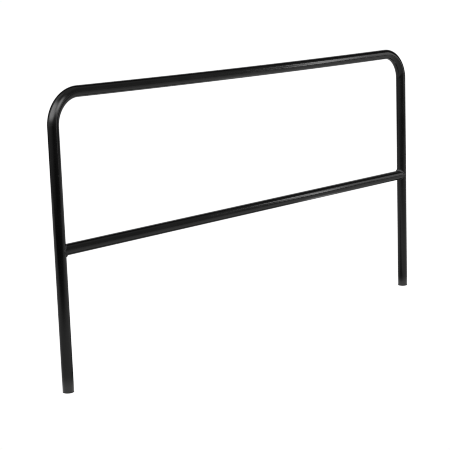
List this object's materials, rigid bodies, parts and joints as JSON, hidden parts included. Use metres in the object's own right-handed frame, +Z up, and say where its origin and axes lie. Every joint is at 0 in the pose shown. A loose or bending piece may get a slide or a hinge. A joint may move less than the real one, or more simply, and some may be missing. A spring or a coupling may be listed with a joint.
{
  "type": "pool handrail",
  "caption": "Pool handrail for deck anchors: a hoop of round tube with rounded corners, a mid rail coped and welded between its legs, and moulded plugs in its feet.",
  "frame": {"origin": "at the level of the feet, midway between the two legs, on the rail's own plane", "axes": "+X along the rail towards its right leg, +Y across the rail, +Z up"},
  "size_m": [1.88, 0.0407, 1.002],
  "materials": {
    "powder_coat": "satin black powder coat on steel tube, with a fine orange peel",
    "foot_plug": "black moulded polyethylene"
  },
  "bodies": {
    "root": {"hoop_tube": "powder_coat", "mid_rail": "powder_coat", "left_weld": "powder_coat", "right_weld": "powder_coat", "left_foot_plug": "foot_plug", "right_foot_plug": "foot_plug"}
  },
  "joints": []
}
